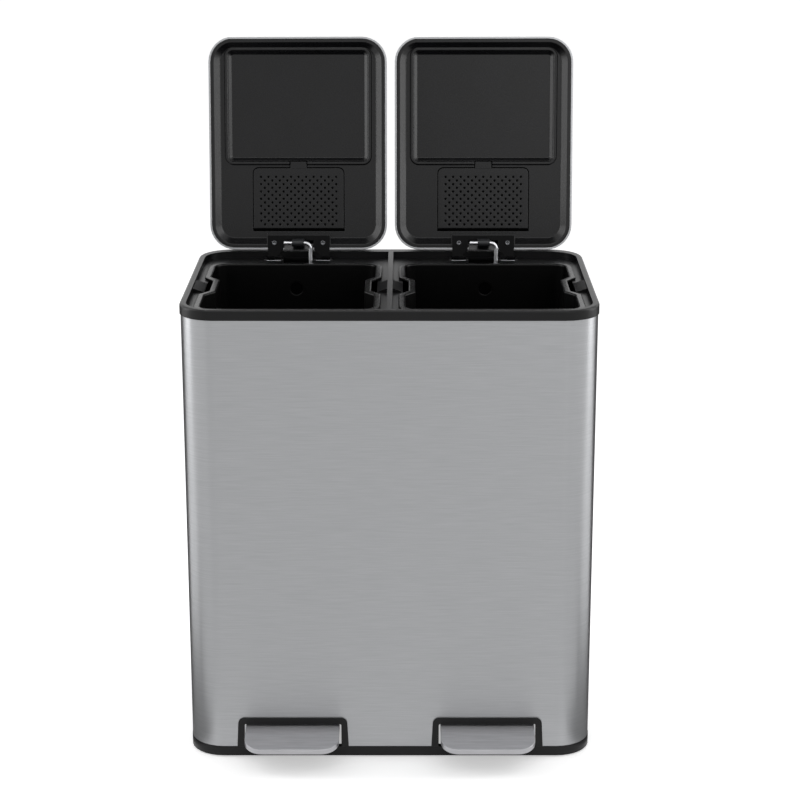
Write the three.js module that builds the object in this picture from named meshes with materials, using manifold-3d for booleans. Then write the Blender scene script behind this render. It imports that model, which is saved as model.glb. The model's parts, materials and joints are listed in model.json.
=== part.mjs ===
// A double recycling bin: one brushed-steel cabinet with two lift-out buckets, two lids and two pedals.
// Millimetres, +Z up, +X to the right of someone facing the bin, whose front looks along -Y.
// Everything is drawn with the cabinet's front face on y = 0 and its middle on x = 0, with the floor
// at z = 0. The finished group is then moved along Y, so that the origin lies on the floor under the
// middle of the bin's overall box. Lids are open and pedals up, as the bin is stored.

import * as THREE from 'three';
import { mergeVertices } from 'three/addons/utils/BufferGeometryUtils.js';
import Module from 'manifold-3d';

const wasm = await Module();
wasm.setup();

// ---------------------------------------------------------------- driving dimensions, mm and degrees

const gap = 0.3; // between two pieces that touch
const running = 1.2; // between two pieces that move past each other

// cabinet: the wrapped steel sheet
const cabinetWidth = 490;
const cabinetDepth = 328;
const cabinetCorner = 42; // plan radius
const wrapHeight = 536.5;
const wrapSheet = 0.8;

// base moulding: an inverted tray, with a deck that the buckets stand on
const footProud = 1.5;
const footRadius = 11;
const footHeight = 3.7;
const footInset = 36; // from the cabinet's sides to a foot's axis
const skirtHeight = 12;
const skirtProud = 0.5;
const skirtWall = 6;
const baseWall = 3;
const deckTop = 65;
const deckThick = 3;
const postRadius = 13;
const bayClear = 12; // beside the levers' rear ends, where the deck is open above them

// top collar: a moulded frame with a seat for the buckets and a recess for the lids
const collarHeight = 12.4;
const collarProud = 1.2;
const collarEdge = 3.5; // rounding of its outer top edge
const collarBorder = 8; // width of the raised border, front and sides
const collarRearBorder = 17;
const recessCorner = 33;
const seatDrop = 8; // from the collar's top to the seat
const seatThick = 2.5;
const insertDepth = 16; // how far the collar reaches into the steel wrap
const insertWall = 2.5;
const dividerWidth = 6.4;
const rampRise = 5; // of the ramps beside the buckets' notches, from the seat
const rampEdge = 0.4; // thickness left at a ramp's low edge
const rampMargin = 4; // from a notch's slant to the ramp's end

// buckets
const bucketSide = 15; // from the cabinet's side to the rim
const bucketRear = 60; // from the rim to the cabinet's rear face
const bucketCorner = 22;
const bucketSpacing = 21; // between the two rims
const bucketFront = 18; // from the cabinet's front face to the rim
const rimBand = 6.3;
const rimThick = 3;
const bucketWall = 2;
const bucketTaper = 8; // each side, from rim to floor
const bucketFoot = 4; // chamfer round its floor
const notchLength = 88;
const notchSlant = 17;
const notchDepth = 12;
const ventRadius = 8.2;
const ventDrop = 32; // from the rim's top to the vent's axis

// hinges
const pinInset = 26; // from the cabinet's rear face to the pins' axis
const pinDrop = 3; // from the seat to the pins' axis
const pinRadius = 2.5;
const pinSunk = 0.5; // of a pin's outer end in its cheek
const hookInside = 22.5; // from the hinge's middle to a hook's pocket
const pocketWidth = 18.5;
const cheekWall = 3;
const cheekHalf = 6;
const cheekRise = 5;
const cheekFall = 9;
const lidOpen = 98; // degrees between a closed and an open lid

// lids
const lidSide = 11; // from the cabinet's side to the lid
const lidFrontMargin = 14; // from the cabinet's front face to the closed lid
const lidGap = 10;
const lidCorner = 32;
const lidThick = 22;
const lidEdge = 6; // rounding of the skin's outer edge
const lidSheet = 0.8;
const lidHem = 2.4;
const lidRise = 1.6; // between a bucket's rim and the closed lid
const lidSetback = 15; // from the pins' axis to the lid's rear edge
const linerWall = 2.2;
const linerRim = 4;
const linerBevel = 8;
const linerDrop = 7; // depth of the field inside the bevel
const beadWidth = 190;
const beadLength = 151;
const beadCorner = 12;
const beadRise = 1.6;
const beadBand = 5;
const beadFlank = 1.2; // width of each sloping side of the bead
const panelInset = 5.4; // from the bead's outer edge to the recessed panel's
const panelDrop = 3.6;
const panelSlope = 4.2; // width of the slope down to the panel

// odour filter in each lid
const coverWidth = 116.7;
const coverLength = 77.9;
const coverThick = 1.6;
const coverCorner = 7;
const coverSetback = 27; // from the lid's rear edge
const coverGap = 1; // round the cover in its recess
const coverSlot = 3.6; // the same, behind it
const slotDepth = 7; // of the liner behind the cover's rear edge
const tabWidth = 21;
const tabLength = 8.5;
const padWidth = 100;
const padLength = 62;
const padThick = 8;
const padCorner = 2;
const beadGap = 4; // between the cover and the bead

// hinge bracket on each lid
const bracketThick = 2.4;
const bracketHalf = 40;
const bracketFront = 33; // from the pins' axis to its far edge
const bracketBar = 6;
const legInside = 20; // from the hinge's middle to a leg's inner edge
const legEnd = 3.5; // from the pins' axis to a leg's end
const legTaper = 15; // from the pins' axis to where a leg starts to narrow, inside
const legTip = 9; // width of a leg's end
const hookWidth = 8;
const seatMargin = 1; // of the liner's seat beside the bracket
const seatFront = 3; // the same, at the bracket's far edge
const apronProud = 3.4; // how far the liner's apron between the legs stands out at the lid's edge
const hookLap = 3; // of a hook's neck over its leg
const hookWall = 2.4;
const hookMouth = 100; // degrees
const screwOffset = 31.4;
const screwSetback = 24;
const screwRadius = 3;
const screwHead = 1.3;
const screwShank = 1.5;
const crossLength = 3.8; // of the recess in a screw's head
const crossWidth = 1;
const crossDepth = 0.8;

// link rods, from the lids down to the levers
const rodRadius = 2.5;
const rodBend = 7.5;
const rodHook = 18; // from the hinge's middle to the rod's free end
const rodOffset = 16; // from the hinge's middle to the rod's long leg
const clipAhead = 25; // clip axis from the pins' axis, with the lid closed
const clipBelow = 12;
const clipWall = 1.6;
const clipWidth = 15.3;
const stopRadius = 6;
const stopHeight = 4;
const rodTail = 50; // below the stop

// pedals and levers
const pedalInward = 1; // from a lid's middle to its pedal's
const pedalWidth = 114;
const pedalReach = 49; // in front of the cabinet
const pedalInside = 4; // behind the cabinet's front face
const pedalCorner = 22;
const pedalTop = 40.8; // of the plate, at the cabinet's front face
const pedalSlope = 10;
const capSheet = 1.5;
const capFlange = 7;
const coreThick = 7.2;
const tongueWidth = 60;
const tongueThick = 2.5;
const tongueStart = 38; // in front of the cabinet
const leverWidth = 24;
const leverHeight = 12;
const leverSheet = 2;
const leverStart = 8; // behind the cabinet's front face
const leverKnee = 32; // where it turns from the pedal's slope to its own
const tongueEnd = 24;
const leverSetback = 19; // from the pins' axis to the lever's rear end
const leverRearZ = 14;
const pivotY = 58;
const pivotZ = 34.5;
const pivotRadius = 3;
const earWall = 3;
const earHalf = 8;
const earDrop = 7; // below the pivot
const forkTop = 60;
const forkThick = 3;
const forkAhead = 17; // from the lever's rear end to the fork's front edge
const forkBehind = 26; // the same, to its rear edge
const forkWall = 4;
const forkArm = 7; // half of the arm from the upright to the fork
const slotHalf = 3.3;

// arched surrounds of the pedal openings
const surroundTopWidth = 133;
const surroundFootWidth = 136;
const surroundBand = 8.3;
const surroundSide = 7.4;
const surroundRise = 51.8; // its top, above the floor
const surroundProud = 1.6;
const surroundLip = 3; // how far the face laps over the steel
const surroundDepth = 10; // of the tunnel behind the steel
const surroundCorner = 8;

// ---------------------------------------------------------------- sizes that follow from them

const skirtTop = footProud + skirtHeight;
const wrapBottom = skirtTop + gap;
const wrapTop = wrapBottom + wrapHeight;
const collarBottom = wrapTop + gap;
const collarTop = collarBottom + collarHeight;
const seatTop = collarTop - seatDrop;
const rimBottom = seatTop + gap;
const rimTop = rimBottom + rimThick;
const bucketFloor = deckTop + gap;
const bucketWidth = (cabinetWidth - bucketSpacing) / 2 - bucketSide;
const bucketDepth = cabinetDepth - bucketFront - bucketRear;
const bucketX = (bucketWidth + bucketSpacing) / 2;
const bucketY = bucketFront + bucketDepth / 2;
const pinY = cabinetDepth - pinInset;
const pinZ = seatTop - pinDrop;
const pinReach = hookInside + pocketWidth + cheekWall - pinSunk; // half of the span over both pins
const lidWidth = (cabinetWidth - lidGap) / 2 - lidSide;
const lidLength = pinY - lidSetback - lidFrontMargin;
const lidX = (lidWidth + lidGap) / 2;
const lidPlane = rimTop + lidRise - pinZ; // the lid's underside, above the pins' axis
const pocketRear = pinY + lidPlane + running; // of the holes round the hinges
const pedalX = lidX - pedalInward;
const sillHalf = pedalX + surroundFootWidth / 2; // of the skirt's straight front
const leverRear = pinY - leverSetback;
const forkStart = leverRear - forkAhead;
const forkEnd = leverRear + forkBehind;
const sides = [['left', -1], ['right', 1]];
const X_AXIS = new THREE.Vector3(1, 0, 0);
const Z_AXIS = new THREE.Vector3(0, 0, 1);
const openTurn = -THREE.MathUtils.degToRad(lidOpen);
const roundSteps = 16; // sides of a pin, foot or screw
const arcSteps = 4; // a quarter turn takes twice as many straight runs
const smallArcSteps = 2; // the same, on the small corners of side plates

// ---------------------------------------------------------------- finishes

const finish = (color, metalness, roughness) => (
  new THREE.MeshStandardMaterial({ color, metalness, roughness }));
const brushedSteel = finish('#9c9da0', 1, 0.38);
const zincSteel = finish('#b9babc', 1, 0.3);
const blackMoulding = finish('#25262a', 0, 0.5);
const darkMoulding = finish('#1b1c1f', 0, 0.6);
const greyMoulding = finish('#4c4d50', 0, 0.55);
const footRubber = finish('#1a1a1a', 0, 0.9);
const carbonFoam = finish('#0f0f10', 0, 1);

// ---------------------------------------------------------------- shapes and solids

/** A closed geometry as a solid that can be joined and cut. */
function solid(geometry) {
  const bare = geometry.clone();
  bare.deleteAttribute('normal');
  bare.deleteAttribute('uv');
  const merged = mergeVertices(bare, 1e-4);
  const vertProperties = new Float32Array(merged.attributes.position.array);
  const triVerts = new Uint32Array(merged.index.array);
  return new wasm.Manifold(new wasm.Mesh({ numProp: 3, vertProperties, triVerts }));
}

/** A solid as a geometry. */
function geometry(body) {
  const { vertProperties, triVerts, numProp } = body.getMesh();
  const made = new THREE.BufferGeometry();
  const count = vertProperties.length / numProp;
  const position = new Float32Array(3 * count);
  for (let i = 0; i < count; i++) {
    position.set(vertProperties.subarray(i * numProp, i * numProp + 3), 3 * i);
  }
  made.setAttribute('position', new THREE.BufferAttribute(position, 3));
  made.setIndex(new THREE.BufferAttribute(new Uint32Array(triVerts), 1));
  made.computeVertexNormals();
  return made;
}

const join = (...bodies) => bodies.reduce((whole, body) => whole.add(body));
const cut = (body, ...tools) => tools.reduce((rest, tool) => rest.subtract(tool), body);

/** A rectangle with rounded corners; its two corners nearer -Y may have their own radius. */
function roundedRect(x0, y0, x1, y1, radius, frontRadius = radius) {
  const shape = new THREE.Shape();
  const corner = (x, y, r, from) => {
    if (r > 0) shape.absarc(x, y, r, from, from + Math.PI / 2, false);
    else shape.lineTo(x, y);
  };
  shape.moveTo(x0 + frontRadius, y0);
  corner(x1 - frontRadius, y0 + frontRadius, frontRadius, -Math.PI / 2);
  corner(x1 - radius, y1 - radius, radius, 0);
  corner(x0 + radius, y1 - radius, radius, Math.PI / 2);
  corner(x0 + frontRadius, y0 + frontRadius, frontRadius, Math.PI);
  return shape;
}

/** The cabinet's plan outline, grown outwards by a distance. */
const cabinetPlan = (grow) => roundedRect(
  -cabinetWidth / 2 - grow, -grow, cabinetWidth / 2 + grow, cabinetDepth + grow, cabinetCorner + grow);

/** The stretch of X between two distances from the middle, on one side of it. */
const span = (s, near, far) => [s * near, s * far].sort((a, b) => a - b);

/** A plan outline pushed from z = low up to z = high. */
function slab(outline, low, high) {
  const options = { depth: high - low, bevelEnabled: false, curveSegments: arcSteps };
  return solid(new THREE.ExtrudeGeometry(outline, options).translate(0, 0, low));
}

/** A wall between two plan outlines, from z = low up to z = high. */
const wall = (outer, inner, low, high) => cut(slab(outer, low, high), slab(inner, low - 1, high + 1));

/** A box, given by its extent along each axis. */
function block([x0, x1], [y0, y1], [z0, z1]) {
  const box = new THREE.BoxGeometry(x1 - x0, y1 - y0, z1 - z0);
  return solid(box.translate((x0 + x1) / 2, (y0 + y1) / 2, (z0 + z1) / 2));
}

const polygon = (points) => new THREE.Shape(points.map(([u, v]) => new THREE.Vector2(u, v)));

/** An outline drawn in (y, z), pushed along X from x0 to x1. */
function sidePlate(outline, x0, x1) {
  const options = { depth: x1 - x0, bevelEnabled: false, curveSegments: smallArcSteps };
  const turn = new THREE.Matrix4().makeBasis(
    new THREE.Vector3(0, 1, 0), new THREE.Vector3(0, 0, 1), new THREE.Vector3(1, 0, 0));
  return solid(new THREE.ExtrudeGeometry(outline, options).applyMatrix4(turn).translate(x0, 0, 0));
}

/** An outline drawn in (x, z), pushed along Y from yFront back to yRear. */
function facePlate(outline, yFront, yRear) {
  const options = { depth: yRear - yFront, bevelEnabled: false, curveSegments: arcSteps };
  return solid(new THREE.ExtrudeGeometry(outline, options).rotateX(Math.PI / 2).translate(0, yRear, 0));
}

/** A round bar along one axis ('x', 'y' or 'z') between two places on it, at the other two coordinates. */
function bar(axis, from, to, [u, v], radius) {
  const rod = new THREE.CylinderGeometry(radius, radius, to - from, roundSteps);
  const middle = (from + to) / 2;
  if (axis === 'x') return solid(rod.rotateZ(Math.PI / 2).translate(middle, u, v));
  if (axis === 'y') return solid(rod.translate(u, middle, v));
  return solid(rod.rotateX(Math.PI / 2).translate(u, v, middle));
}

/** A closed body through a row of rings with equal numbers of points, filled at both ends. */
function loft(rings) {
  const count = rings[0].length;
  const index = [];
  for (let r = 0; r + 1 < rings.length; r++) {
    for (let i = 0; i < count; i++) {
      const j = (i + 1) % count;
      const [a, b, c, d] = [i, j, i + count, j + count].map((k) => k + r * count);
      index.push(a, b, d, a, d, c);
    }
  }
  [0, rings.length - 1].forEach((r) => {
    const contour = inOwnPlane(rings[r]);
    for (const [a, b, c] of THREE.ShapeUtils.triangulateShape(contour, [])) {
      const ringwise = THREE.ShapeUtils.area([contour[a], contour[b], contour[c]]) > 0;
      index.push(...(ringwise === (r > 0) ? [a, b, c] : [a, c, b]).map((k) => k + r * count));
    }
  });
  const made = new THREE.BufferGeometry();
  made.setAttribute('position', new THREE.Float32BufferAttribute(rings.flat(2), 3));
  made.setIndex(index);
  if (volume(made) < 0) made.setIndex(index.reverse());
  return solid(made);
}

/** A flat ring's points as (u, v) in its own plane, where they run round anticlockwise. */
function inOwnPlane(points) {
  const corners = points.map((point) => new THREE.Vector3(...point));
  const normal = new THREE.Vector3();
  corners.forEach((corner, i) => normal.add(corner.clone().cross(corners[(i + 1) % corners.length])));
  const u = (Math.abs(normal.x) < normal.length() / 2 ? X_AXIS : Z_AXIS).clone().cross(normal).normalize();
  const v = normal.normalize().clone().cross(u);
  return corners.map((corner) => new THREE.Vector2(corner.dot(u), corner.dot(v)));
}

/** Signed volume of a closed geometry, positive when its faces point outwards. */
function volume(made) {
  const corner = (i) => new THREE.Vector3().fromBufferAttribute(made.attributes.position, made.index.getX(i));
  let total = 0;
  for (let i = 0; i < made.index.count; i += 3) {
    total += corner(i).dot(corner(i + 1).cross(corner(i + 2))) / 6;
  }
  return total;
}

/** The points of an outline at a height, as a ring for a loft. */
const ring = (shape, z) => shape.extractPoints(arcSteps).shape.slice(0, -1).map(({ x, y }) => [x, y, z]);

/** Quarter-round steps: pairs of (distance in, distance up) for an edge of the given radius. */
const quarterRound = (radius, steps = 4) => Array.from({ length: steps + 1 }, (_, i) => {
  const turn = (Math.PI / 2) * (i / steps);
  return [radius * (1 - Math.cos(turn)), radius * Math.sin(turn)];
});

/** A named mesh of a solid with its finish. */
function piece(name, body, material) {
  const mesh = new THREE.Mesh(geometry(body), material);
  mesh.name = name;
  return mesh;
}

/** A group at a place, turned about X, that holds some pieces. */
function assembly(place, turn, pieces) {
  const group = new THREE.Group();
  group.position.set(...place);
  group.rotation.x = turn;
  group.add(...pieces);
  return group;
}

// ---------------------------------------------------------------- pedal surrounds

/** Arch outline of a surround in (x, z), with its face drawn in by a distance. */
function archOutline(inset) {
  const foot = surroundFootWidth / 2 - inset;
  const top = surroundTopWidth / 2 - inset;
  const rise = surroundRise - inset;
  const radius = surroundCorner - inset / 2;
  const shape = new THREE.Shape();
  shape.moveTo(foot, wrapBottom);
  shape.lineTo(top, rise - radius);
  shape.absarc(top - radius, rise - radius, radius, 0, Math.PI / 2, false);
  shape.absarc(radius - top, rise - radius, radius, Math.PI / 2, Math.PI, false);
  shape.lineTo(-foot, wrapBottom);
  return shape;
}

/** The clear opening under the arch, in (x, z), running down past its feet. */
function archOpening() {
  const half = surroundTopWidth / 2 - surroundSide;
  const top = surroundRise - surroundBand;
  return roundedRect(-half, wrapBottom - 1, half, top, 2, 0);
}

function pedalSurround() {
  const face = facePlate(archOutline(0), -gap - surroundProud, -gap);
  const tunnel = facePlate(archOutline(surroundLip), -gap - surroundProud, surroundDepth);
  return cut(join(face, tunnel), facePlate(archOpening(), -surroundProud - 2, surroundDepth + 1));
}

/** The hole that a surround's tunnel needs, from yFront to yRear. */
function surroundHole(yFront, yRear) {
  const hole = facePlate(archOutline(surroundLip - gap), yFront, yRear);
  const half = surroundFootWidth / 2 - surroundLip + gap;
  return join(hole, block([-half, half], [yFront, yRear], [wrapBottom - 1, wrapBottom + 1]));
}

// ---------------------------------------------------------------- cabinet

function outerShell() {
  const sheet = wall(cabinetPlan(0), cabinetPlan(-wrapSheet), wrapBottom, wrapTop);
  return cut(sheet, ...sides.map(([, s]) => surroundHole(-1, wrapSheet + 1).translate(s * pedalX, 0, 0)));
}

function baseMoulding() {
  const insideWrap = -wrapSheet - gap;
  const skirt = wall(cabinetPlan(skirtProud), cabinetPlan(insideWrap - skirtWall), footProud, skirtTop);
  const upstand = wall(cabinetPlan(insideWrap), cabinetPlan(insideWrap - baseWall), footProud, deckTop);
  const deck = slab(cabinetPlan(insideWrap), deckTop - deckThick, deckTop);
  const posts = footPlaces.map(([x, y]) => bar('z', footHeight + gap, deckTop - 1, [x, y], postRadius));
  const wallHole = surroundHole(-1, baseWall + wrapSheet + 1);
  const tunnelHoles = sides.map(([, s]) => wallHole.translate(s * pedalX, 0, 0));
  const bays = sides.map(([, s]) => rearBay().translate(s * lidX, 0, 0));
  const ears = sides.map(([, s]) => pivotEars().translate(s * pedalX, 0, 0));
  const frontSill = block([-sillHalf, sillHalf], [-skirtProud, skirtWall], [footProud, skirtTop]);
  return join(cut(join(skirt, upstand, deck, ...posts), ...tunnelHoles, ...bays), ...ears, frontSill);
}

const footPlaces = [-1, 1].flatMap((s) => [footInset, cabinetDepth - footInset].map((y) => [
  s * (cabinetWidth / 2 - footInset), y]));

/** The opening in the deck behind a bucket, where a lever's rear end rises. */
const rearBay = () => block([-leverWidth / 2 - bayClear, rodOffset + slotHalf + forkWall + bayClear],
  [forkStart - forkWall, forkEnd + bayClear], [deckTop - deckThick - 1, deckTop + 1]);

/** Two ears under the deck that carry a pedal's pivot pin. */
function pivotEars() {
  const inside = leverWidth / 2 + running;
  const outline = roundedRect(pivotY - earHalf, pivotZ - earDrop, pivotY + earHalf, deckTop - 1, 0, 4);
  const ears = [-1, 1].map((s) => sidePlate(outline, ...span(s, inside, inside + earWall)));
  return cut(join(...ears), bar('x', -leverWidth, leverWidth, [pivotY, pivotZ], pivotRadius + gap));
}

function topCollar() {
  const rounding = quarterRound(collarEdge).map(([inward, up]) => ring(
    cabinetPlan(collarProud - inward), collarTop - collarEdge + up));
  const plate = loft([ring(cabinetPlan(collarProud), collarBottom), ...rounding]);
  const insideWrap = -wrapSheet - gap;
  const insert = wall(
    cabinetPlan(insideWrap), cabinetPlan(insideWrap - insertWall), wrapTop - insertDepth, seatTop);
  const hollow = slab(cabinetPlan(insideWrap - insertWall), collarBottom - 1, seatTop - seatThick);
  const edge = cabinetWidth / 2 + collarProud - collarBorder;
  const front = collarBorder - collarProud;
  const rear = cabinetDepth + collarProud - collarRearBorder;
  const recess = slab(roundedRect(-edge, front, edge, rear, recessCorner), seatTop, collarTop + 1);
  const halfDivider = dividerWidth / 2;
  const divider = block([-halfDivider, halfDivider], [front - 2, rear + 2], [seatTop - 1, collarTop]);
  const wells = sides.map(([, s]) => bucketWell().translate(s * bucketX, bucketY, 0));
  const pockets = sides.flatMap(([, s]) => hingePockets().map((pocket) => pocket.translate(s * lidX, 0, 0)));
  const cheeks = sides.flatMap(([, s]) => hingeCheeks().map((cheek) => cheek.translate(s * lidX, 0, 0)));
  const bore = bar('x', -pinReach - gap, pinReach + gap, [pinY, pinZ], pinRadius + gap);
  const bores = sides.map(([, s]) => bore.translate(s * lidX, 0, 0));
  const frame = join(cut(plate, hollow, recess), insert, divider);
  return cut(join(cut(frame, ...wells, ...pockets), ...cheeks, ...fingerRamps(halfDivider, edge)), ...bores);
}

/** Ramps from the divider and from the side borders down to the wells, for the fingers that lift a bucket. */
function fingerRamps(halfDivider, border) {
  const half = notchLength / 2 - notchSlant - rampMargin;
  const lap = rimBand - running;
  const wells = [bucketSpacing / 2 + lap, bucketSpacing / 2 + bucketWidth - lap];
  const ramps = [halfDivider, border].map((high, i) => {
    const inside = high + (i ? 1 : -1); // the ramp's high end lies inside what it leans on
    return facePlate(polygon([[wells[i], seatTop - 1], [inside, seatTop - 1], [inside, seatTop + rampRise],
      [high, seatTop + rampRise], [wells[i], seatTop + rampEdge]]), bucketY - half, bucketY + half);
  });
  return ramps.flatMap((ramp) => [ramp, ramp.scale([-1, 1, 1])]);
}

/** The hole in the seat that a bucket drops through, about the bucket's middle. */
function bucketWell() {
  const lap = rimBand - running;
  const [halfX, halfY] = [bucketWidth / 2 - lap, bucketDepth / 2 - lap];
  const outline = roundedRect(-halfX, -halfY, halfX, halfY, bucketCorner - lap);
  return slab(outline, seatTop - seatThick - 1, seatTop + 1);
}

/** Holes in the seat round a hinge: one for each hook, and one for the clip and rod between them. */
function hingePockets() {
  const depth = [seatTop - seatThick - 1, seatTop + 1];
  const reach = Math.hypot(clipAhead, clipBelow) + rodRadius + clipWall;
  const hooks = [-1, 1].map((s) => block(span(s, hookInside, hookInside + pocketWidth),
    [pinY - legEnd - hookLap - running, pocketRear], depth));
  const middle = hookInside - cheekWall;
  return [...hooks, block([-middle, middle], [pinY - reach - running, pocketRear], depth)];
}

/** Four cheeks beside the hooks, which hold the pins. */
function hingeCheeks() {
  const outline = roundedRect(pinY - cheekHalf, pinZ - cheekFall, pinY + cheekHalf, pinZ + cheekRise, 3);
  const starts = [hookInside - cheekWall, hookInside + pocketWidth];
  return starts.flatMap((x) => [-1, 1].map((s) => sidePlate(outline, ...span(s, x, x + cheekWall))));
}

/** One pin across a hook's pocket, with its ends in the cheeks. */
const hingePin = (s) => bar('x', ...span(s, hookInside - cheekWall + gap, pinReach), [pinY, pinZ], pinRadius);

const pivotReach = leverWidth / 2 + running + earWall; // half of a pedal pivot's length

function cabinet() {
  const pieces = [
    piece('outer_shell', outerShell(), brushedSteel),
    piece('top_collar', topCollar(), blackMoulding),
    piece('base_moulding', baseMoulding(), blackMoulding),
  ];
  footPlaces.forEach(([x, y]) => {
    const name = `foot_${y < cabinetDepth / 2 ? 'front' : 'rear'}_${x < 0 ? 'left' : 'right'}`;
    pieces.push(piece(name, bar('z', 0, footHeight, [x, y], footRadius), footRubber));
  });
  for (const [side, s] of sides) {
    pieces.push(piece(`pedal_surround_${side}`, pedalSurround().translate(s * pedalX, 0, 0), darkMoulding));
    const pivot = bar('x', -pivotReach, pivotReach, [pivotY, pivotZ], pivotRadius);
    pieces.push(piece(`pedal_pivot_pin_${side}`, pivot.translate(s * pedalX, 0, 0), zincSteel));
    pieces.push(piece(`hinge_pin_${side}_outer`, hingePin(s).translate(s * lidX, 0, 0), zincSteel));
    pieces.push(piece(`hinge_pin_${side}_inner`, hingePin(-s).translate(s * lidX, 0, 0), zincSteel));
  }
  return pieces;
}

// ---------------------------------------------------------------- buckets

/** A bucket's plan outline about its middle, drawn in by a distance from the rim's edge. */
function bucketPlan(inset) {
  const [halfX, halfY] = [bucketWidth / 2 - inset, bucketDepth / 2 - inset];
  const radius = Math.max(bucketCorner - inset, 3);
  const widen = inset * Math.tan(Math.atan2(notchDepth, notchSlant) / 2);
  const [far, near] = [notchLength / 2 + widen, notchLength / 2 - notchSlant + widen];
  const notch = (s) => [[halfX, -far], [halfX - notchDepth, -near], [halfX - notchDepth, near], [halfX, far]]
    .forEach(([x, y]) => shape.lineTo(s * x, s * y));
  const shape = new THREE.Shape();
  shape.moveTo(radius - halfX, -halfY);
  shape.absarc(halfX - radius, radius - halfY, radius, -Math.PI / 2, 0, false);
  notch(1);
  shape.absarc(halfX - radius, halfY - radius, radius, 0, Math.PI / 2, false);
  shape.absarc(radius - halfX, halfY - radius, radius, Math.PI / 2, Math.PI, false);
  notch(-1);
  shape.absarc(radius - halfX, radius - halfY, radius, Math.PI, Math.PI * 1.5, false);
  return shape;
}

function bucket() {
  const rings = [
    [rimBand + bucketTaper + bucketFoot, bucketFloor],
    [rimBand + bucketTaper, bucketFloor + bucketFoot],
    [rimBand, rimBottom],
    [0, rimBottom],
    [0, rimTop - 1],
    [1, rimTop],
    [rimBand + bucketWall - 1, rimTop],
    [rimBand + bucketWall, rimTop - 1],
    [rimBand + bucketTaper + bucketWall, bucketFloor + bucketFoot],
    [rimBand + bucketTaper + bucketFoot + bucketWall / 2, bucketFloor + bucketWall],
  ].map(([inset, z]) => ring(bucketPlan(inset), z));
  const vent = bar('y', bucketDepth / 2 - 3 * rimBand, bucketDepth / 2, [0, rimTop - ventDrop], ventRadius);
  return cut(loft(rings), vent);
}

// ---------------------------------------------------------------- lids, drawn closed about the pins' axis

const lidRear = -lidSetback;
const lidFront = lidRear - lidLength;
const fieldPlane = lidPlane + linerDrop; // the liner's field inside the bevel
const coverFace = fieldPlane; // the cover lies flush with the field
const coverBack = coverFace + coverThick;
const coverRear = lidRear - coverSetback;
const coverFront = coverRear - coverLength;
const beadRear = coverFront - beadGap;

/** A lid's plan outline, drawn in by a distance from its edge. */
const lidPlan = (inset) => roundedRect(inset - lidWidth / 2, lidFront + inset,
  lidWidth / 2 - inset, lidRear - inset, Math.max(lidCorner - inset, 3));

function lidSkin() {
  const top = lidPlane + lidThick;
  const edge = top - lidEdge;
  const outer = quarterRound(lidEdge).reverse().map(([inward, up]) => [inward, edge + up]);
  const inner = quarterRound(lidEdge - lidSheet).map(([inward, up]) => [lidSheet + inward, edge + up]);
  const rings = [
    ...outer,
    [0, lidPlane],
    [lidHem, lidPlane],
    [lidHem, lidPlane + lidSheet],
    [lidSheet, lidPlane + lidSheet],
    ...inner,
  ];
  return loft(rings.map(([inset, z]) => ring(lidPlan(inset), z)));
}

function lidLiner() {
  const edge = lidHem + gap;
  const field = edge + linerRim + linerBevel;
  const front = [[edge, lidPlane], [edge + linerRim, lidPlane], [field, fieldPlane]];
  const back = front.map(([inset, z]) => [inset, z + linerWall]).reverse();
  const sheet = loft([...back, ...front].map(([inset, z]) => ring(lidPlan(inset), z)));
  const coverFloor = coverBack + gap;
  const padFloor = coverFloor + padThick + gap;
  const panelBack = slab(beadPlan(panelInset - linerWall), fieldPlane, fieldPlane + panelDrop + linerWall);
  const recessBack = slab(recessPlan(linerWall), fieldPlane, coverFloor + linerWall);
  const tabBack = slab(tabPlan(linerWall), fieldPlane, coverFloor + linerWall);
  const pocketBack = slab(pocketPlan(linerWall), fieldPlane, padFloor + linerWall);
  const slotSpan = [-coverWidth / 2 - coverGap, coverWidth / 2 + coverGap];
  const slot = block(slotSpan, [coverRear, coverRear + coverSlot], [fieldPlane, fieldPlane + slotDepth]);
  const slotBack = block(slotSpan.map((x) => x + Math.sign(x) * linerWall),
    [coverRear - linerWall, coverRear + coverSlot + linerWall], [fieldPlane, fieldPlane + slotDepth + linerWall]);
  const recess = slab(recessPlan(0), fieldPlane - 1, coverFloor);
  const tabRecess = slab(tabPlan(0), fieldPlane - beadRise - 1, coverFloor);
  const pocket = slab(pocketPlan(0), fieldPlane, padFloor);
  const backs = [panelBack, recessBack, slotBack, tabBack, pocketBack];
  const body = join(sheet, ...backs, bead(), ...bracketSeat(lidRear - edge));
  return cut(body, panel(), recess, slot, tabRecess, pocket);
}

/** What the liner has at the hinge: a seat under the bracket, and an apron that covers the skin's edge. */
function bracketSeat(linerRear) {
  const depth = [lidPlane, fieldPlane + 1];
  const half = bracketHalf + seatMargin;
  const strip = block([-half, half], [-bracketFront - seatFront, bracketBar - bracketFront], depth);
  const underLegs = [-1, 1].map((s) => block(span(s, legInside - seatMargin, half),
    [bracketBar - bracketFront - 1, linerRear], depth));
  const apronHalf = legInside - running;
  const rimStart = linerRear - linerRim;
  const apron = sidePlate(polygon([[rimStart, lidPlane], [lidRear + gap, lidPlane - apronProud],
    [lidRear + gap, lidPlane - gap], [linerRear, lidPlane - gap], [linerRear, lidPlane + 1],
    [rimStart, lidPlane + 1]]), -apronHalf, apronHalf);
  return [strip, ...underLegs, apron];
}

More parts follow.
